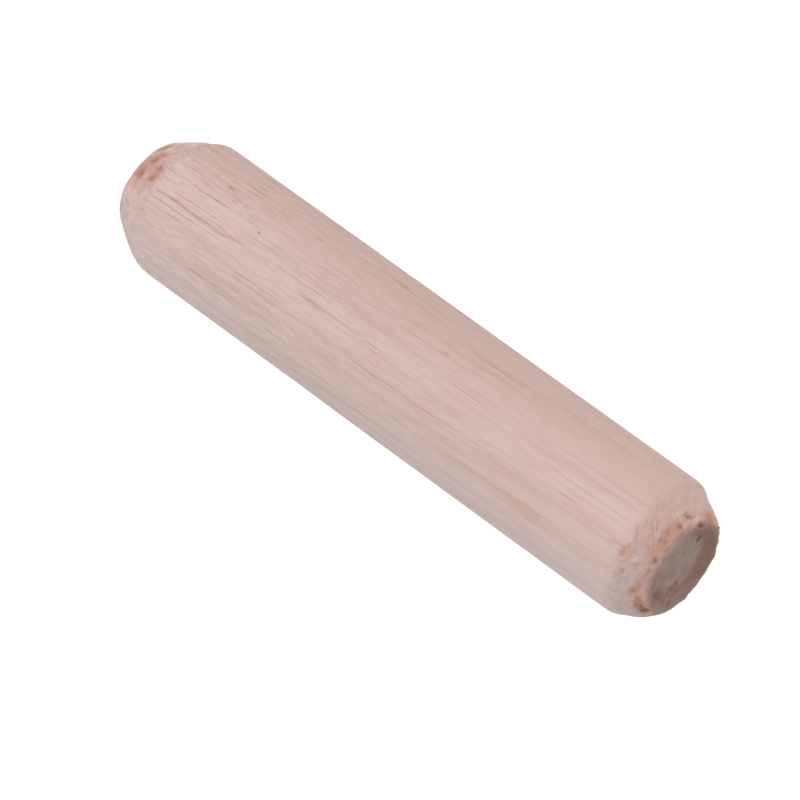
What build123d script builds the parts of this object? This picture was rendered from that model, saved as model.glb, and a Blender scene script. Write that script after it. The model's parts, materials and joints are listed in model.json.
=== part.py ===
"""Wooden dowel pin: a plain round shank with a cutter-made chamfer on each end.

One solid piece of wood, turned about the Z axis.
It stands on its bottom end face, with the origin at the middle of that face, and +Z runs up the shank.
All sizes are in millimetres.
"""

import os

from build123d import *

# Overall sizes
shank_diameter = 8.0
pin_length = 38.0

# Each end is cut by its own pass of the chamfer cutter, so the two ends differ a little.
# A face diameter is where the cone meets the end face, before the rim is rounded.
bottom_chamfer_length = 2.4
bottom_face_diameter = 5.1
top_chamfer_length = 1.9
top_face_diameter = 5.3

# Rounding of the wood's edges
rim_radius = 0.5
shoulder_radius = 1.0


def edges_at(part, height):
    """The round edges that lie wholly at one height on the pin."""
    return part.edges().filter_by(GeomType.CIRCLE).filter_by_position(Axis.Z, height, height)


with BuildPart() as dowel_pin:
    shank_radius = shank_diameter / 2
    with BuildSketch(Plane.XZ):
        with BuildLine():
            Polyline(
                (0, 0),
                (bottom_face_diameter / 2, 0),
                (shank_radius, bottom_chamfer_length),
                (shank_radius, pin_length - top_chamfer_length),
                (top_face_diameter / 2, pin_length),
                (0, pin_length),
                close=True,
            )
        make_face()
    revolve(axis=Axis.Z)
    fillet(
        edges_at(dowel_pin, 0) + edges_at(dowel_pin, pin_length),
        radius=rim_radius,
    )
    fillet(
        edges_at(dowel_pin, bottom_chamfer_length)
        + edges_at(dowel_pin, pin_length - top_chamfer_length),
        radius=shoulder_radius,
    )

os.makedirs("parts", exist_ok=True)
dowel_pin.part.label = "dowel_pin"
export_step(dowel_pin.part, "parts/dowel_pin.step")
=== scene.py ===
# Wooden dowel pin, standing on its bottom end face
# -Y is the side that faces the camera, and angles round the pin are counted from there towards +X

import json
import math

import bmesh
import bpy
import numpy as np
from mathutils import Matrix, Vector, noise

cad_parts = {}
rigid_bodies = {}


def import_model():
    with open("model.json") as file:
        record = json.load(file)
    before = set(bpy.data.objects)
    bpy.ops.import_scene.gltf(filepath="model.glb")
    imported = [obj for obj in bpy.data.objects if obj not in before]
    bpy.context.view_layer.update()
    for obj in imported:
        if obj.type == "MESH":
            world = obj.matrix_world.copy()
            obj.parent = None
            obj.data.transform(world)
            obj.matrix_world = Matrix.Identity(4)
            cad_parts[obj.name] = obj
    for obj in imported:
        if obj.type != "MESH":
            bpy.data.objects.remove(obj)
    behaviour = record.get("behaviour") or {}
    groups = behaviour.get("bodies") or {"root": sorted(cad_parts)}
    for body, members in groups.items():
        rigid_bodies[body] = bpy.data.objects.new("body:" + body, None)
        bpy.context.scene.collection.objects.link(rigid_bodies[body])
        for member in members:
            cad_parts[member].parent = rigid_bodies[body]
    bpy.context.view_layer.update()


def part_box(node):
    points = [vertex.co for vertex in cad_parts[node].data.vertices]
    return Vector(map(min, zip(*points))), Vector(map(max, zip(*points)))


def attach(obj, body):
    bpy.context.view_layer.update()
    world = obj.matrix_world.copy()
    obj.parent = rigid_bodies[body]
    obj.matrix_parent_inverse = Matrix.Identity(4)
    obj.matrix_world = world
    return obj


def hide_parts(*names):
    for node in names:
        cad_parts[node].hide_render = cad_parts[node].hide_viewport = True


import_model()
pinLow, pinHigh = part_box("dowel_pin")
mm = 0.001
pinHeight = pinHigh.z - pinLow.z
pinRadius = (pinHigh.x - pinLow.x) / 2
print("frame loaded, pin is", round(pinHeight / mm, 2), "mm tall")


def clearSelection():
    if bpy.context.object and bpy.context.object.mode != "OBJECT":
        bpy.ops.object.mode_set(mode="OBJECT")
    for thing in bpy.data.objects:
        thing.select_set(False)


def takeUp(piece):
    clearSelection()
    bpy.context.view_layer.objects.active = piece
    piece.select_set(True)


cameraSet = {
    "lens": 307.0,         # long lens, so the pin hardly tapers
    "distance": 351.8 * mm,
    "elevation": 27.0,     # degrees above the horizon
    "roll": 126.0,         # lays the standing pin across the picture, top end to the lower right
    "aimHeight": 19.4 * mm,
    "aimAside": 1.55 * mm,
}


def makeCamera(c):
    tilt = math.radians(c["elevation"])
    back = Vector((0, -math.cos(tilt), math.sin(tilt)))
    aim = Vector((c["aimAside"], 0, c["aimHeight"]))
    turn = back.to_track_quat("Z", "Y").to_matrix().to_4x4()
    roll = Matrix.Rotation(math.radians(c["roll"]), 4, "Z")
    bpy.ops.object.camera_add()
    camera = bpy.context.object
    camera.name = "studioCamera"
    camera.matrix_world = Matrix.Translation(aim + back * c["distance"]) @ turn @ roll
    camera.data.lens = c["lens"]
    camera.data.sensor_width = 36
    camera.data.clip_start = 0.01
    bpy.context.scene.camera = camera
    return camera


makeCamera(cameraSet)
print("camera ready")


def addNode(tree, kind, **settings):
    node = tree.nodes.new(kind)
    for name, value in settings.items():
        setattr(node, name, value)
    return node


def feed(tree, node, **inputs):
    # an input named with _ for a space gets a link if the value is a socket, and a number or colour otherwise
    for name, value in inputs.items():
        socket = node.inputs[name.replace("_", " ")]
        if isinstance(value, bpy.types.NodeSocket):
            tree.links.new(value, socket)
        else:
            socket.default_value = value
    return node


def mathNode(tree, operation, a, b=0.0, c=0.0):
    node = addNode(tree, "ShaderNodeMath", operation=operation)
    for socket, value in zip(node.inputs, (a, b, c)):
        if isinstance(value, bpy.types.NodeSocket):
            tree.links.new(value, socket)
        else:
            socket.default_value = value
    return node.outputs[0]


def ramp(tree, value, low, high, soft=True):
    # 0 below low, 1 above high, or the other way round when low is the larger
    node = addNode(tree, "ShaderNodeMapRange", clamp=True)
    node.interpolation_type = "SMOOTHSTEP" if soft else "LINEAR"
    flip = low > high
    feed(tree, node, Value=value, From_Min=min(low, high), From_Max=max(low, high))
    feed(tree, node, To_Min=1.0 if flip else 0.0, To_Max=0.0 if flip else 1.0)
    return node.outputs["Result"]


def mixColour(tree, amount, first, second, blend="MIX"):
    node = addNode(tree, "ShaderNodeMix", data_type="RGBA", blend_type=blend, clamp_factor=True)
    for socket, value in zip((node.inputs[0], node.inputs[6], node.inputs[7]), (amount, first, second)):
        if isinstance(value, bpy.types.NodeSocket):
            tree.links.new(value, socket)
        elif isinstance(value, tuple):
            socket.default_value = (*value, 1.0)
        else:
            socket.default_value = value
    return node.outputs[2]


def stretchedNoise(tree, place, across, along, detail=2.0, rough=0.5, offset=0.0):
    # noise with so many features per millimetre across the grain and along it
    mapping = addNode(tree, "ShaderNodeMapping")
    shift = (offset, offset * 0.7, offset * 1.3)
    feed(tree, mapping, Vector=place, Scale=(across, across, along), Location=shift)
    texture = addNode(tree, "ShaderNodeTexNoise")
    feed(tree, texture, Vector=mapping.outputs[0], Scale=1.0, Detail=detail, Roughness=rough)
    return texture.outputs["Factor"] if "Factor" in texture.outputs else texture.outputs[0]


woodLook = {
    "pale": (0.650, 0.490, 0.458),
    "pink": (0.656, 0.478, 0.452),
    "warm": (0.630, 0.455, 0.405),
    "grey": (0.645, 0.508, 0.478),
    "cream": (0.656, 0.498, 0.456),
    "bottomLift": (1.07, 1.09, 1.11),     # lighter towards the bottom end
    "tan": (0.560, 0.360, 0.280),
    "line": (0.345, 0.185, 0.120),
    # painted highlight on the raised lip beside each grain line
    "lipHighlight": (0.710, 0.550, 0.510),
    "pore": (0.200, 0.115, 0.090),
    "cone": (0.600, 0.400, 0.352),
    "coneLeft": (0.645, 0.465, 0.410),
    "coneRight": (0.560, 0.430, 0.408),
    # painted light: the bottom cone is made paler than the shank, standing in for the light on that end
    "bottomCone": (0.770, 0.605, 0.580),
    "endGrain": (0.458, 0.308, 0.274),
    "endGrainPale": (0.552, 0.400, 0.366),
    "endGrainBrown": (0.372, 0.200, 0.160),
    "tornTop": (0.530, 0.285, 0.200),
    "tornBottom": (0.570, 0.272, 0.200),
    "tornFace": (0.350, 0.200, 0.165),
    "tornDeep": (0.215, 0.105, 0.075),
    "grainSlope": 2.0,      # degrees that the grain runs off the pin's axis
    "wander": 1.2,          # millimetres, how far a fibre strays over the pin's length
    "quiver": 0.22,         # millimetres, its small waves
    "discPlace": (-0.05, -0.90, 38.0),    # middle of the smooth disc on the top end face, in millimetres
    "discRadius": 1.62,
    "roughness": 0.80,
    "reliefDepth": 0.012 * mm,
}

# degrees round, height, half width, half length, colour, strength; sizes in millimetres
shankMarks = [
    (-17, 9.0, 0.06, 0.09, "pore", 0.65),
    (-26, 21.8, 0.03, 0.30, "line", 0.60),
    (2, 24.9, 0.03, 0.30, "line", 0.50),
    (-34, 5.9, 0.05, 0.28, "line", 0.90),
    (-29, 6.7, 0.03, 0.22, "line", 0.60),
    (-27, 7.3, 0.05, 0.26, "line", 0.80),
    (17, 9.8, 0.035, 6.00, "line", 0.50),
    (38, 6.8, 0.045, 2.00, "line", 0.70),
    (41, 8.2, 0.035, 1.80, "line", 0.60),
    (-6, 5.6, 0.035, 2.20, "line", 0.50),
    (2, 18.2, 0.05, 0.60, "line", 0.55),
    (-70, 6.6, 0.05, 1.30, "line", 0.65),
    (8, 32.3, 0.035, 0.80, "line", 0.50),
    (35, 30.5, 0.36, 1.20, "tan", 0.50),
    (31, 16.0, 0.30, 1.60, "tan", 0.35),
    (37, 7.0, 0.42, 2.60, "tan", 0.30),
]


def addWaves(tree, place, across, along, reach):
    # pushes a place sideways by up to half of reach, with so many waves per millimetre
    mapping = addNode(tree, "ShaderNodeMapping")
    feed(tree, mapping, Vector=place, Scale=(across, across, along))
    texture = addNode(tree, "ShaderNodeTexNoise")
    feed(tree, texture, Vector=mapping.outputs[0], Scale=1.0, Detail=1.0)
    centred = addNode(tree, "ShaderNodeVectorMath", operation="SUBTRACT")
    tree.links.new(texture.outputs["Color"], centred.inputs[0])
    centred.inputs[1].default_value = (0.5, 0.5, 0.5)
    shift = addNode(tree, "ShaderNodeVectorMath", operation="MULTIPLY_ADD")
    tree.links.new(centred.outputs[0], shift.inputs[0])
    shift.inputs[1].default_value = (reach, reach, 0)
    tree.links.new(place, shift.inputs[2])
    return shift.outputs[0]


def product(tree, *values):
    result = values[0]
    for value in values[1:]:
        result = mathNode(tree, "MULTIPLY", result, value)
    return result


def distanceFrom(tree, place, centre, stretch):
    # distance to a point, with the axes stretched first
    offset = addNode(tree, "ShaderNodeVectorMath", operation="SUBTRACT")
    tree.links.new(place, offset.inputs[0])
    offset.inputs[1].default_value = centre
    scaled = addNode(tree, "ShaderNodeVectorMath", operation="MULTIPLY")
    tree.links.new(offset.outputs[0], scaled.inputs[0])
    scaled.inputs[1].default_value = stretch
    length = addNode(tree, "ShaderNodeVectorMath", operation="LENGTH")
    tree.links.new(scaled.outputs[0], length.inputs[0])
    return length.outputs["Value"]


def makeWood(look):
    material = bpy.data.materials.new("rawWood")
    material.use_nodes = True
    tree = material.node_tree
    shader = tree.nodes["Principled BSDF"]

    # place in millimetres, then turned so that Z runs with the grain
    coordinates = addNode(tree, "ShaderNodeTexCoord")
    inMm = addNode(tree, "ShaderNodeMapping")
    feed(tree, inMm, Vector=coordinates.outputs["Object"], Scale=(1 / mm, 1 / mm, 1 / mm))
    place = inMm.outputs[0]
    split = addNode(tree, "ShaderNodeSeparateXYZ")
    feed(tree, split, Vector=place)
    x, y, z = split.outputs
    turned = addNode(tree, "ShaderNodeMapping")
    feed(tree, turned, Vector=place, Rotation=(0, math.radians(look["grainSlope"]), 0))
    grain = addWaves(tree, turned.outputs[0], 0.16, 0.035, look["wander"])
    grain = addWaves(tree, grain, 0.8, 0.45, look["quiver"])

    # where the cutter has been: 1 on an end's cone or face, 0 on the shank
    fromMiddle = mathNode(tree, "ABSOLUTE", mathNode(tree, "SUBTRACT", z, pinHeight / mm / 2))
    squares = mathNode(tree, "ADD", mathNode(tree, "MULTIPLY", x, x), mathNode(tree, "MULTIPLY", y, y))
    fromAxis = mathNode(tree, "SQRT", squares)
    ragged = mathNode(tree, "MULTIPLY_ADD", stretchedNoise(tree, place, 2.6, 1.2, 3.0, 0.6), 1.0, -0.5)
    cutEnd = ramp(tree, mathNode(tree, "MULTIPLY_ADD", ragged, 0.55, fromAxis), 4.02, 3.56)
    cutEnd = mathNode(tree, "MULTIPLY", cutEnd, ramp(tree, fromMiddle, 16.0, 16.6))
    onFace = ramp(tree, mathNode(tree, "MULTIPLY_ADD", ragged, 0.9, fromAxis), 2.95, 2.10)
    onFace = mathNode(tree, "MULTIPLY", onFace, ramp(tree, fromMiddle, 18.3, 18.8))
    onTop = ramp(tree, z, 18.0, 20.0)
    shank = mathNode(tree, "SUBTRACT", 1.0, cutEnd)

    # soft bands, warmer towards -X and greyer towards +X, with pink and cream streaks
    bands = stretchedNoise(tree, grain, 0.6, 0.018, 3.0, 0.55, 4.0)
    sideways = mathNode(tree, "MULTIPLY_ADD", bands, 4.0, mathNode(tree, "SUBTRACT", x, 2.0))
    blush = stretchedNoise(tree, grain, 1.6, 0.35, 2.0, 0.5, 43.0)
    colour = mixColour(tree, ramp(tree, blush, 0.46, 0.62), look["pale"], look["pink"])
    colour = mixColour(tree, ramp(tree, blush, 0.50, 0.36), colour, look["cream"])
    colour = mixColour(tree, ramp(tree, sideways, 0.0, -3.4), colour, look["warm"])
    colour = mixColour(tree, ramp(tree, sideways, 1.2, 3.0), colour, look["grey"])
    patches = ramp(tree, stretchedNoise(tree, grain, 0.8, 0.12, 3.0, 0.55, 14.0), 0.62, 0.80)
    colour = mixColour(tree, product(tree, patches, 0.40), colour, look["tan"])
    streaks = stretchedNoise(tree, grain, 3.2, 0.06, 2.0, 0.5, 9.0)
    colour = mixColour(tree, product(tree, ramp(tree, streaks, 0.46, 0.72), 0.18), colour, look["line"])
    colour = mixColour(tree, ramp(tree, z, 18.0, 2.0, False), colour, look["bottomLift"], "MULTIPLY")

    # long grain lines of even width with a pale lip, a painted highlight for the light on the raised edge
    # beside each groove, in dashes, stronger towards the bottom end
    sheets = addNode(tree, "ShaderNodeTexVoronoi", voronoi_dimensions="2D", feature="DISTANCE_TO_EDGE")
    feed(tree, sheets, Vector=grain, Scale=0.95, Randomness=1.0)
    toSheet = mathNode(tree, "DIVIDE", sheets.outputs["Distance"], 0.95)
    groove = ramp(tree, toSheet, 0.050, 0.008)
    lipHighlight = mathNode(tree, "MULTIPLY", ramp(tree, toSheet, 0.025, 0.065), ramp(tree, toSheet, 0.13, 0.075))
    dashes = ramp(tree, stretchedNoise(tree, grain, 1.8, 0.13, 5.0, 0.68, 33.0), 0.47, 0.66)
    fade = mathNode(tree, "MULTIPLY_ADD", ramp(tree, z, 34.0, 3.0, False), 0.68, 0.32)
    lines = product(tree, groove, dashes, fade, shank)
    lipHighlights = product(tree, lipHighlight, dashes, fade, shank)
    colour = mixColour(tree, product(tree, lines, 0.62), colour, look["line"])
    # the lip gets a painted highlight in colour, and is raised in the relief below as well
    colour = mixColour(tree, product(tree, lipHighlights, 0.45), colour, look["lipHighlight"])

    # vessels, cut open as hair-thin marks a few millimetres long, and some darker ones
    vesselNoise = stretchedNoise(tree, grain, 7.5, 0.50, 2.0, 0.5, 27.0)
    vessels = product(tree, ramp(tree, vesselNoise, 0.50, 0.72), fade, shank)
    colour = mixColour(tree, product(tree, vessels, 0.22), colour, look["line"])
    darker = ramp(tree, stretchedNoise(tree, grain, 6.5, 0.75, 1.0, 0.5, 66.0), 0.69, 0.80)
    colour = mixColour(tree, product(tree, darker, fade, shank, 0.50), colour, look["line"])

    # marks that stand by themselves
    raggedMark = stretchedNoise(tree, grain, 4.5, 0.9, 3.0, 0.6, 5.0)
    raggedMark = mathNode(tree, "MULTIPLY_ADD", raggedMark, 2.4, -1.2)
    slope = Matrix.Rotation(math.radians(look["grainSlope"]), 3, "Y")
    for around, height, wide, tall, name, strength in shankMarks:
        turn = math.radians(around)
        centre = Vector((pinRadius / mm * math.sin(turn), -pinRadius / mm * math.cos(turn), height))
        away = distanceFrom(tree, turned.outputs[0], slope @ centre, (1 / wide, 1 / wide, 1 / tall))
        mark = ramp(tree, mathNode(tree, "ADD", away, raggedMark), 1.40, 0.30)
        colour = mixColour(tree, product(tree, mark, strength), colour, look[name])

    # fuzz of the cut fibres
    fuzz = stretchedNoise(tree, grain, 6.5, 1.5, 3.0, 0.6, 60.0)
    fuzzy = product(tree, ramp(tree, fuzz, 0.34, 0.72), fade)
    colour = mixColour(tree, fuzzy, colour, (0.91, 0.895, 0.885), "MULTIPLY")

    # the cones: scratches painted on the mesh as the attribute named scratch, and crumbs
    scratch = addNode(tree, "ShaderNodeAttribute", attribute_name="scratch").outputs["Fac"]
    crumbs = stretchedNoise(tree, place, 4.0, 3.5, 3.0, 0.6, 71.0)
    blotches = stretchedNoise(tree, place, 1.5, 1.3, 3.0, 0.6, 77.0)
    sidelong = mathNode(tree, "MULTIPLY_ADD", blotches, 2.4, mathNode(tree, "SUBTRACT", x, 1.2))
    topCone = mixColour(tree, ramp(tree, sidelong, -0.8, -2.4), look["cone"], look["coneLeft"])
    topCone = mixColour(tree, ramp(tree, sidelong, -0.2, 1.4), topCone, look["coneRight"])
    # painted light: paler blotches on the bottom cone stand in for the light that falls on that end
    bottomCone = mixColour(tree, ramp(tree, blotches, 0.35, 0.65), look["bottomCone"], colour)
    coneColour = mixColour(tree, onTop, bottomCone, topCone)
    coneColour = mixColour(tree, product(tree, streaks, onTop, 0.25), coneColour, look["cone"])
    # the cones are darker along the scratches, where the mesh is dented
    coneColour = mixColour(tree, ramp(tree, scratch, 0.45, 0.95), coneColour, (0.86, 0.82, 0.80), "MULTIPLY")
    coneColour = mixColour(tree, ramp(tree, crumbs, 0.42, 0.74), coneColour, (0.90, 0.87, 0.85), "MULTIPLY")
    colour = mixColour(tree, cutEnd, colour, coneColour)

    # end grain: a smooth disc with a rougher brown ring round it, and faint growth rings
    mottle = stretchedNoise(tree, place, 1.3, 1.3, 4.0, 0.6, 80.0)
    pith = distanceFrom(tree, grain, (-11.0, 7.0, 0.0), (1, 1, 0))
    ringPhase = mathNode(tree, "MULTIPLY_ADD", pith, 6.5, mathNode(tree, "MULTIPLY", mottle, 3.0))
    rings = mathNode(tree, "MULTIPLY_ADD", mathNode(tree, "SINE", ringPhase), 0.5, 0.5)
    tubes = stretchedNoise(tree, place, 9.0, 9.0, 1.0, 0.5, 88.0)
    shade = mathNode(tree, "MULTIPLY_ADD", rings, 0.12, mathNode(tree, "MULTIPLY", mottle, 0.85))
    disc = mixColour(tree, ramp(tree, shade, 0.26, 0.70), look["endGrain"], look["endGrainPale"])
    greyer = mathNode(tree, "MULTIPLY_ADD", mathNode(tree, "ADD", x, y), 0.10, mottle)
    ringColour = mixColour(tree, ramp(tree, greyer, 0.50, 0.94), look["endGrainBrown"], look["endGrain"])
    fromDisc = distanceFrom(tree, place, look["discPlace"], (1, 1, 0))
    fromDisc = mathNode(tree, "MULTIPLY_ADD", ragged, 0.8, fromDisc)
    outside = ramp(tree, fromDisc, look["discRadius"] - 0.25, look["discRadius"] + 0.40)
    faceColour = mixColour(tree, outside, disc, ringColour)
    faceColour = mixColour(tree, product(tree, ramp(tree, tubes, 0.48, 0.74), 0.30), faceColour, look["pore"])
    colour = mixColour(tree, onFace, colour, faceColour)

    # torn fibres, painted on the mesh as the attribute named torn
    torn = addNode(tree, "ShaderNodeAttribute", attribute_name="torn").outputs["Fac"]
    tornEdge = mathNode(tree, "MULTIPLY_ADD", mathNode(tree, "SUBTRACT", crumbs, 0.5), 0.8, 1.0)
    tornEdge = mathNode(tree, "MULTIPLY_ADD", mathNode(tree, "SUBTRACT", scratch, 0.4), 0.4, tornEdge)
    tornEdge = mathNode(tree, "MULTIPLY", torn, tornEdge)
    tornColour = mixColour(tree, onTop, look["tornBottom"], look["tornTop"])
    tornColour = mixColour(tree, onFace, tornColour, look["tornFace"])
    colour = mixColour(tree, ramp(tree, tornEdge, 0.05, 1.00, False), colour, tornColour)
    colour = mixColour(tree, product(tree, ramp(tree, tornEdge, 0.85, 1.70), 0.95), colour, look["tornDeep"])

    # relief too fine for the mesh
    height = mathNode(tree, "MULTIPLY_ADD", lines, -1.0, mathNode(tree, "MULTIPLY", lipHighlights, 0.6))
    height = mathNode(tree, "MULTIPLY_ADD", vessels, -0.5, height)
    height = mathNode(tree, "MULTIPLY_ADD", fuzz, 0.9, height)
    height = mathNode(tree, "MULTIPLY_ADD", product(tree, crumbs, cutEnd), 3.0, height)
    height = mathNode(tree, "MULTIPLY_ADD", product(tree, tubes, onFace), -1.2, height)
    bump = addNode(tree, "ShaderNodeBump")
    feed(tree, bump, Strength=1.0, Distance=look["reliefDepth"], Height=height)
    roughness = mathNode(tree, "MULTIPLY_ADD", fuzz, 0.14, look["roughness"] - 0.07)

    feed(tree, shader, Base_Color=colour, Roughness=roughness, Normal=bump.outputs[0])
    shader.inputs["Specular IOR Level"].default_value = 0.30
    return material


floorLook = {"colour": 0.80, "seenColour": 0.45, "seenGlow": 0.84}


def makeFloorMaterial(look):
    material = bpy.data.materials.new("paleFloor")
    material.use_nodes = True
    tree = material.node_tree
    shader = tree.nodes["Principled BSDF"]
    rays = addNode(tree, "ShaderNodeLightPath")
    seen = mathNode(tree, "MAXIMUM", rays.outputs["Is Camera Ray"], rays.outputs["Is Glossy Ray"])
    seen = mathNode(tree, "MAXIMUM", seen, rays.outputs["Is Transmission Ray"])
    plain = (look["colour"],) * 3
    shown = (look["seenColour"],) * 3
    feed(tree, shader, Base_Color=mixColour(tree, seen, plain, shown), Roughness=1.0)
    feed(tree, shader, Emission_Strength=mathNode(tree, "MULTIPLY", seen, look["seenGlow"]))
    shader.inputs["Emission Color"].default_value = (1, 1, 1, 1)
    shader.inputs["Specular IOR Level"].default_value = 0.0
    return material


studioSet = {
    "floorSize": 4.0,
    "worldLight": 0.30,
    # name, degrees round the pin from the camera towards +X, watts
    "softboxes": [
        ("frontBox", 0, 1.65),
        ("leftFrontBox", -60, 2.05),
        ("rightFrontBox", 60, 1.80),
        ("leftBackBox", -150, 1.40),
        ("rightBackBox", 150, 0.90),
    ],
    "boxWidth": 0.50,
    "boxTall": 0.30,
    "boxRise": 6.0,        # degrees above the horizon, low so that the top end face stays quiet
    "boxDistance": 0.62,
}


def makeStudio(s):
    clearSelection()
    bpy.ops.mesh.primitive_plane_add(size=s["floorSize"], location=(0, 0, pinLow.z))
    floor = bpy.context.object
    floor.name = "floor"
    floor.data.materials.append(makeFloorMaterial(floorLook))

    middle = Vector((0, 0, pinHeight / 2))
    rise = math.radians(s["boxRise"])
    for name, around, watts in s["softboxes"]:
        turn = math.radians(around)
        away = Vector((math.sin(turn) * math.cos(rise), -math.cos(turn) * math.cos(rise), math.sin(rise)))
        bpy.ops.object.light_add(type="AREA", location=middle + away * s["boxDistance"])
        lamp = bpy.context.object
        lamp.name = name
        lamp.rotation_euler = away.to_track_quat("Z", "Y").to_euler()
        lamp.data.shape = "RECTANGLE"
        lamp.data.size = s["boxWidth"]
        lamp.data.size_y = s["boxTall"]
        lamp.data.energy = watts
        lamp.visible_camera = False

    world = bpy.data.worlds.new("studioWorld")
    world.use_nodes = True
    bpy.context.scene.world = world
    tree = world.node_tree
    rays = addNode(tree, "ShaderNodeLightPath")
    seen = mathNode(tree, "MAXIMUM", rays.outputs["Is Camera Ray"], rays.outputs["Is Glossy Ray"])
    seen = mathNode(tree, "MAXIMUM", seen, rays.outputs["Is Transmission Ray"])
    level = mathNode(tree, "MULTIPLY_ADD", seen, 1.0 - s["worldLight"], s["worldLight"])
    feed(tree, tree.nodes["Background"], Color=(1, 1, 1, 1), Strength=level)


makeStudio(studioSet)
bpy.context.scene.view_settings.view_transform = "Standard"
print("studio ready")


pinShape = {
    "around": 400,
    "bottomCone": 2.4 * mm,
    "bottomFace": 2.55 * mm,      # radius where the cone meets the end face
    "topCone": 1.9 * mm,
    "topFace": 2.65 * mm,
    "shoulderReach": 0.32 * mm,   # how far the rounding spreads from a shoulder or a rim
    "rimReach": 0.28 * mm,
    "shankRows": 72,
    "bottomConeRows": 44,
    "topConeRows": 42,
    "bottomFaceRings": 10,
    "topFaceRings": 24,
}

# name, size of a lump, how many times longer it is up the pin, depth, vertex group that holds it
reliefs = [
    ("slowSwell", 2.6 * mm, 5.0, 0.05 * mm, ""),
    ("grainRidges", 0.40 * mm, 14.0, 0.025 * mm, "shank"),
    ("crumbledCut", 0.34 * mm, 1.2, 0.070 * mm, "cutEnds"),
]

pinWear = {
    "coneMiddle": 3.4 * mm,       # radius at which the scratches are measured
    "scratchWidth": 0.15 * mm,
    "scratchLength": 0.42 * mm,
    "scratchDepth": 0.032 * mm,
    "topSlant": 1.0,              # how far a scratch runs sideways for each step up the top cone
    "bottomSlant": 0.0,
    "plainScratches": 0.22,       # how strong the scratches are away from the chattered place
    "strayLump": 0.20 * mm,       # size of the waves in a tear's outline
    "stray": 0.13 * mm,           # how far they push it
    "firstRandomTear": 100,       # degrees round, beyond which the tears are scattered
    "scattered": 18,
    "seed": 11,
}

# where the cutter chattered hardest on the top cone, placed as the tears below are
chatter = (-9, 1.35, 1.10, 0.70)

# broad dents and, with a minus, swellings: degrees round, millimetres down the cone from the rim,
# half width round, half width down, depth
topLumps = [
    (-90, 1.98, 3.2, 0.42, 0.11),
    (-90, 0.40, 2.4, 0.70, -0.12),
    (90, 0.95, 3.0, 0.80, -0.22),
    (90, 0.05, 1.6, 0.35, -0.10),
    (0, -0.05, 2.6, 0.50, 0.09),
    (0, 1.30, 2.0, 0.60, -0.03),
]
bottomLumps = [
    (0, 1.40, 9.0, 1.00, -0.02),
    (90, 2.90, 2.5, 0.60, 0.05),
    (-90, 2.50, 2.5, 0.45, 0.13),
    (22, 0.25, 0.8, 0.35, -0.07),
]

# torn places: degrees round, millimetres down the cone from the rim (minus is in on the face),
# half width round, half width down, depth, stain
topTears = [
    (-78, 0.34, 0.60, 0.36, 0.05, 1.10),
    (-62, -0.10, 0.30, 0.14, 0.13, 1.90),
    (-68, -0.84, 0.20, 0.28, 0.08, 1.60),
    (-50, 0.55, 0.22, 0.14, 0.05, 0.90),
    (-46, 0.74, 0.22, 0.18, 0.09, 1.30),
    (-36, 0.40, 1.10, 0.45, 0.01, 0.30),
    (-33, 0.55, 0.15, 0.24, 0.07, 1.15),
    (-22, 0.55, 0.75, 0.36, 0.04, 0.70),
    (-19, 0.66, 0.20, 0.19, 0.07, 0.95),
    (-10, 0.46, 0.30, 0.24, 0.07, 0.95),
    (-2, 0.48, 0.50, 0.34, 0.04, 0.70),
    (8, 0.60, 0.55, 0.36, 0.04, 0.60),
    (12, 0.30, 0.24, 0.17, 0.09, 1.25),
    (25, 0.30, 0.15, 0.15, 0.06, 0.90),
    (25, 1.00, 0.15, 0.10, 0.05, 0.75),
    (33, 0.45, 0.70, 0.30, 0.03, 0.40),
    (46, 0.58, 0.40, 0.22, 0.06, 0.80),
    (50, 0.78, 0.30, 0.22, 0.08, 1.00),
    (62, 0.50, 0.50, 0.26, 0.06, 0.90),
    (73, 0.45, 0.50, 0.28, 0.09, 1.20),
    (83, 0.34, 0.46, 0.26, 0.12, 1.60),
    (13, 1.90, 0.20, 0.13, 0.07, 0.90),
    (18, 2.00, 0.26, 0.12, 0.09, 0.95),
    (14, 2.44, 0.07, 0.40, 0.05, 0.90),
    (33, 1.60, 0.22, 0.12, 0.09, 1.10),
    (-112, -0.45, 0.60, 0.50, 0.04, 0.55),
    (108, -1.70, 0.22, 0.30, 0.05, 0.95),
    (95, -1.35, 0.24, 0.24, 0.05, 0.90),
    (69, -0.55, 0.30, 0.42, 0.06, 0.95),
    (117, -0.40, 0.24, 0.24, 0.06, 1.10),
    (40, -1.00, 0.50, 0.30, 0.02, 0.50),
]
bottomTears = [
    (-21, 0.95, 0.44, 0.46, 0.06, 1.05),
    (-30, 1.25, 0.20, 0.46, 0.05, 0.85),
    (-3, 0.72, 0.46, 0.36, 0.07, 1.10),
    (-14, 1.90, 0.22, 0.40, 0.05, 0.85),
    (-3, 1.95, 0.26, 0.46, 0.06, 0.90),
    (-9, 2.05, 0.48, 0.50, 0.03, 0.70),
    (-12, 1.15, 1.20, 1.05, 0.02, 0.50),
    (-45, 0.50, 0.45, 0.34, 0.06, 0.85),
    (8, 0.90, 0.60, 0.60, 0.02, 0.35),
    (-18, 2.85, 0.08, 0.20, 0.04, 0.60),
    (21, 2.85, 0.08, 0.24, 0.05, 0.75),
    (5, 2.80, 0.07, 0.22, 0.04, 0.60),
]

# fibres left standing: degrees round, down from the rim, half widths, height
topNubs = [
    (-100, 0.02, 0.20, 0.16, 0.15),
    (99, 0.04, 0.18, 0.14, 0.14),
    (152, 0.05, 0.30, 0.20, 0.06),
    (-150, 0.04, 0.34, 0.20, 0.05),
    (-40, 0.30, 0.18, 0.14, 0.06),
    (-56, 0.25, 0.20, 0.16, 0.07),
    (20, 1.20, 0.12, 0.25, 0.05),
]


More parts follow.
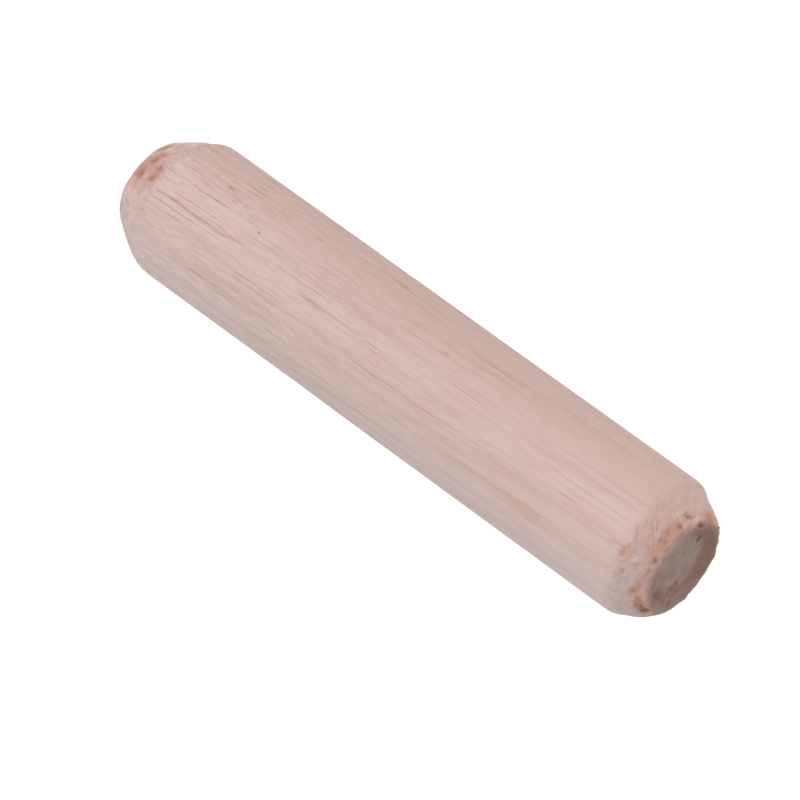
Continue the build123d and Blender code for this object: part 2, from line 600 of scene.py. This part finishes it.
def selectEdges(piece, wanted):
    # edge mode, with the edges chosen whose two ends pass the test
    bpy.ops.object.mode_set(mode="EDIT")
    bpy.ops.mesh.select_mode(type="EDGE")
    mesh = bmesh.from_edit_mesh(piece.data)
    for face in mesh.faces:
        face.select = False
    for edge in mesh.edges:
        edge.select = wanted(edge.verts[0].co, edge.verts[1].co)
    mesh.select_flush_mode()
    bmesh.update_edit_mesh(piece.data)


def selectEndFace(piece, height):
    bpy.ops.object.mode_set(mode="EDIT")
    bpy.ops.mesh.select_mode(type="FACE")
    mesh = bmesh.from_edit_mesh(piece.data)
    for face in mesh.faces:
        face.select = False
    end = max(mesh.faces, key=lambda f: (len(f.verts), -abs(f.calc_center_median().z - height)))
    ends = [f for f in mesh.faces if len(f.verts) == len(end.verts)]
    min(ends, key=lambda f: abs(f.calc_center_median().z - height)).select = True
    mesh.select_flush_mode()
    bmesh.update_edit_mesh(piece.data)


def coneEnd(piece, fromHeight, toHeight, faceRadius):
    # the end face is drawn out along the axis and scaled down to the cone's small end
    selectEndFace(piece, fromHeight)
    bpy.ops.mesh.extrude_region_move(TRANSFORM_OT_translate={"value": (0, 0, toHeight - fromHeight)})
    shrink = faceRadius / pinRadius
    bpy.ops.transform.resize(value=(shrink, shrink, 1))


def roundRing(piece, height, reach, segments):
    near = 0.02 * mm
    selectEdges(piece, lambda a, b: abs(a.z - height) < near and abs(b.z - height) < near)
    bpy.ops.mesh.bevel(offset=reach, offset_type="OFFSET", segments=segments, affect="EDGES")


def addRows(piece, low, high, cuts):
    # cuts the edges that climb from low to high
    near = 0.02 * mm
    selectEdges(piece, lambda a, b: abs(min(a.z, b.z) - low) < near and abs(max(a.z, b.z) - high) < near)
    bpy.ops.mesh.subdivide(number_cuts=cuts)


def makePin(s):
    clearSelection()
    low = pinLow.z + s["bottomCone"]
    high = pinHigh.z - s["topCone"]
    bpy.ops.mesh.primitive_cylinder_add(
        vertices=s["around"], radius=pinRadius, depth=high - low, location=(0, 0, (low + high) / 2)
    )
    pin = bpy.context.object
    pin.name = "turnedPin"
    bpy.ops.object.transform_apply(location=True, rotation=True, scale=True)
    coneEnd(pin, low, pinLow.z, s["bottomFace"])
    coneEnd(pin, high, pinHigh.z, s["topFace"])
    roundRing(pin, pinLow.z, s["rimReach"], 6)
    roundRing(pin, pinHigh.z, s["rimReach"], 6)
    roundRing(pin, low, s["shoulderReach"], 6)
    roundRing(pin, high, s["shoulderReach"], 6)
    bpy.ops.object.mode_set(mode="OBJECT")
    levels = sorted({round(v.co.z, 6) for v in pin.data.vertices})
    gaps = [(b - a, a, b) for a, b in zip(levels, levels[1:])]
    shank, bottomCone, topCone = sorted(gaps, reverse=True)[:3]
    addRows(pin, shank[1], shank[2], s["shankRows"])
    addRows(pin, bottomCone[1], bottomCone[2], s["bottomConeRows"])
    addRows(pin, topCone[1], topCone[2], s["topConeRows"])
    for height, rings in ((pinLow.z, s["bottomFaceRings"]), (pinHigh.z, s["topFaceRings"])):
        selectEndFace(pin, height)
        step = s["bottomFace"] / (rings + 4)
        for ring in range(rings):
            bpy.ops.mesh.inset(thickness=step)
        bpy.ops.mesh.poke()
    bpy.ops.mesh.select_all(action="SELECT")
    bpy.ops.mesh.remove_doubles(threshold=0.0005 * mm)
    bpy.ops.mesh.normals_make_consistent(inside=False)
    bpy.ops.object.mode_set(mode="OBJECT")
    return pin


def readPoints(piece):
    points = np.empty(len(piece.data.vertices) * 3)
    piece.data.vertices.foreach_get("co", points)
    return points.reshape(-1, 3)


def writePoints(piece, points):
    piece.data.vertices.foreach_set("co", points.astype(np.float32).ravel())
    piece.data.update()


def readNormals(piece):
    normals = np.empty(len(piece.data.vertices) * 3)
    piece.data.vertices.foreach_get("normal", normals)
    return normals.reshape(-1, 3)


def smooth(share):
    share = np.clip(share, 0, 1)
    return share * share * (3 - 2 * share)


def addGroups(piece, s):
    # two vertex groups that hand over to each other at the shoulders
    height = readPoints(piece)[:, 2]
    low = pinLow.z + s["bottomCone"]
    high = pinHigh.z - s["topCone"]
    past = np.maximum(low - height, height - high)
    cut = smooth((past + 0.15 * mm) / (0.35 * mm))
    steps = 10
    for name, weight in (("cutEnds", cut), ("shank", 1 - cut)):
        group = piece.vertex_groups.new(name=name)
        level = np.round(weight * steps).astype(int)
        for step in range(1, steps + 1):
            group.add(np.nonzero(level == step)[0].tolist(), step / steps, "REPLACE")


def addRelief(piece, name, size, stretch, depth, groupName):
    texture = bpy.data.textures.new(name, "CLOUDS")
    texture.noise_scale = size
    texture.noise_depth = 2
    clearSelection()
    bpy.ops.object.empty_add(location=(0, 0, 0))
    guide = bpy.context.object
    guide.scale = (1, 1, stretch)
    takeUp(piece)
    modifier = piece.modifiers.new(name, "DISPLACE")
    modifier.texture = texture
    modifier.texture_coords = "OBJECT"
    modifier.texture_coords_object = guide
    modifier.strength = depth
    modifier.mid_level = 0.65
    modifier.vertex_group = groupName
    bpy.ops.object.modifier_apply(modifier=name)
    bpy.data.objects.remove(guide)


def coneOf(s, top):
    # rim and shoulder of an end as (distance from the axis, height)
    if top:
        return np.array((s["topFace"], pinHigh.z)), np.array((pinRadius, pinHigh.z - s["topCone"]))
    return np.array((s["bottomFace"], pinLow.z)), np.array((pinRadius, pinLow.z + s["bottomCone"]))


def spotDistance(points, s, top, spot):
    # 0 in the middle of a spot and 1 at its edge
    around, down, wide, tall = spot[:4]
    rim, shoulder = coneOf(s, top)
    slope = (shoulder - rim) / np.linalg.norm(shoulder - rim)
    centre = rim + down * mm * (slope if down > 0 else np.array((1, 0)))
    fromAxis = np.hypot(points[:, 0], points[:, 1])
    angle = np.arctan2(points[:, 0], -points[:, 1]) - math.radians(around)
    angle = (angle + math.pi) % (2 * math.pi) - math.pi
    rise = np.hypot(fromAxis - centre[0], points[:, 2] - centre[1])
    return np.hypot(angle * fromAxis / (wide * mm), rise / (tall * mm))


def tornShare(distance, fray):
    # 1 in the middle of a spot, falling to 0 beyond its frayed edge
    return smooth(1.3 - 0.85 * distance - 0.30 * fray)


def scratchNoise(points, s, wear, top):
    # scratches on a cone, drawn out along its slope and slanting round it, from -1 to 1
    rim, shoulder = coneOf(s, top)
    slope = (shoulder - rim) / np.linalg.norm(shoulder - rim)
    fromAxis = np.hypot(points[:, 0], points[:, 1])
    down = (fromAxis - rim[0]) * slope[0] + (points[:, 2] - rim[1]) * slope[1]
    slant = wear["topSlant"] if top else wear["bottomSlant"]
    angle = np.arctan2(points[:, 0], -points[:, 1]) + slant * down / wear["coneMiddle"]
    reach = wear["coneMiddle"] / wear["scratchWidth"]
    places = np.stack((np.sin(angle) * reach, np.cos(angle) * reach, down / wear["scratchLength"]), 1)
    wide = np.array([noise.noise(Vector(place)) for place in places])
    fine = np.array([noise.noise(Vector((place[0] * 2, place[1] * 2, place[2] * 2.5))) for place in places])
    return wide + 0.5 * fine


def scatterTears(rng, wear, coneLength):
    # tears for the side of an end that has none in its list
    tears = []
    first = wear["firstRandomTear"]
    for number in range(wear["scattered"]):
        around = first + (360 - 2 * first) * (number + rng.uniform(0.1, 0.9)) / wear["scattered"]
        down = rng.uniform(0.1, 0.95) if rng.random() < 0.75 else rng.uniform(1.0, coneLength / mm - 0.3)
        wide = rng.uniform(0.16, 0.50)
        tall = rng.uniform(0.12, 0.34)
        tears.append((around, down, wide, tall, rng.uniform(0.04, 0.11), rng.uniform(0.6, 1.4)))
    return tears


def wearPin(piece, s, wear):
    points = readPoints(piece)
    normals = readNormals(piece)
    past = np.maximum(pinLow.z + s["bottomCone"] - points[:, 2], points[:, 2] - pinHigh.z + s["topCone"])
    cut = smooth((past + 0.12 * mm) / (0.3 * mm))
    upper = points[:, 2] > (pinLow.z + pinHigh.z) / 2

    # how much each point frays the edge of a tear, and how far the tear's outline strays there
    fray = np.array([noise.noise(Vector(p) / (0.16 * mm)) for p in points])
    stray = np.array([noise.noise_vector(Vector(p) / wear["strayLump"]) for p in points]) * wear["stray"]
    strayed = points + stray
    torn = np.zeros(len(points))
    scratch = np.zeros(len(points))
    move = np.zeros(len(points))
    rng = np.random.default_rng(wear["seed"])
    for top, lumps, tears in ((True, topLumps, topTears), (False, bottomLumps, bottomTears)):
        here = np.nonzero((upper == top) & (past > -3 * mm))[0]
        part = points[here]
        rim, shoulder = coneOf(s, top)
        length = float(np.linalg.norm(shoulder - rim))
        for lump in lumps:
            move[here] -= np.exp(-spotDistance(part, s, top, lump) ** 2) * lump[4] * mm
        for tear in tears + scatterTears(rng, wear, length):
            distance = spotDistance(strayed[here], s, top, tear)
            # the stain spreads further than the tear itself
            stain = np.exp(-0.9 * distance ** 2) * tear[5]
            torn[here] = np.maximum(torn[here], stain) + 0.25 * np.minimum(torn[here], stain)
            move[here] -= tornShare(distance, fray[here]) * tear[4] * mm * (0.75 + 0.5 * fray[here])
        onFace = smooth((rim[0] - np.hypot(part[:, 0], part[:, 1])) / (0.4 * mm) + 0.5)
        strength = wear["plainScratches"]
        if top:
            strength = strength + (1 - strength) * np.exp(-spotDistance(part, s, top, chatter) ** 2)
        lines = scratchNoise(part, s, wear, top) * strength * (1 - 0.7 * onFace)
        scratch[here] = np.clip(0.5 + 0.9 * lines, 0, 1) * cut[here]
        move[here] -= np.clip(0.5 + 0.9 * lines, 0, 1) * cut[here] * wear["scratchDepth"]
    for nub in topNubs:
        move += tornShare(spotDistance(strayed, s, True, nub), fray) * nub[4] * mm
    points += move[:, None] * normals

    # nothing stands past the pin's own size, and both end faces keep their flats
    fromAxis = np.hypot(points[:, 0], points[:, 1])
    points[:, :2] *= np.minimum(1, pinRadius * 0.9990 / np.maximum(fromAxis, mm))[:, None]
    points[:, 2] = np.clip(points[:, 2], pinLow.z, pinHigh.z)
    writePoints(piece, points)
    for name, values in (("torn", torn), ("scratch", scratch)):
        layer = piece.data.attributes.new(name, "FLOAT", "POINT")
        layer.data.foreach_set("value", values.astype(np.float32))


pin = makePin(pinShape)
print("pin shaped,", len(pin.data.vertices), "vertices,", len(pin.data.polygons), "faces")
addGroups(pin, pinShape)
for relief in reliefs:
    addRelief(pin, *relief)
wearPin(pin, pinShape, pinWear)
pin.vertex_groups.clear()
print("pin worn and torn")

pin.data.materials.append(makeWood(woodLook))
takeUp(pin)
bpy.ops.object.shade_smooth_by_angle(angle=math.radians(60))
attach(pin, "root")
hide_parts("dowel_pin")
print("wood finished")
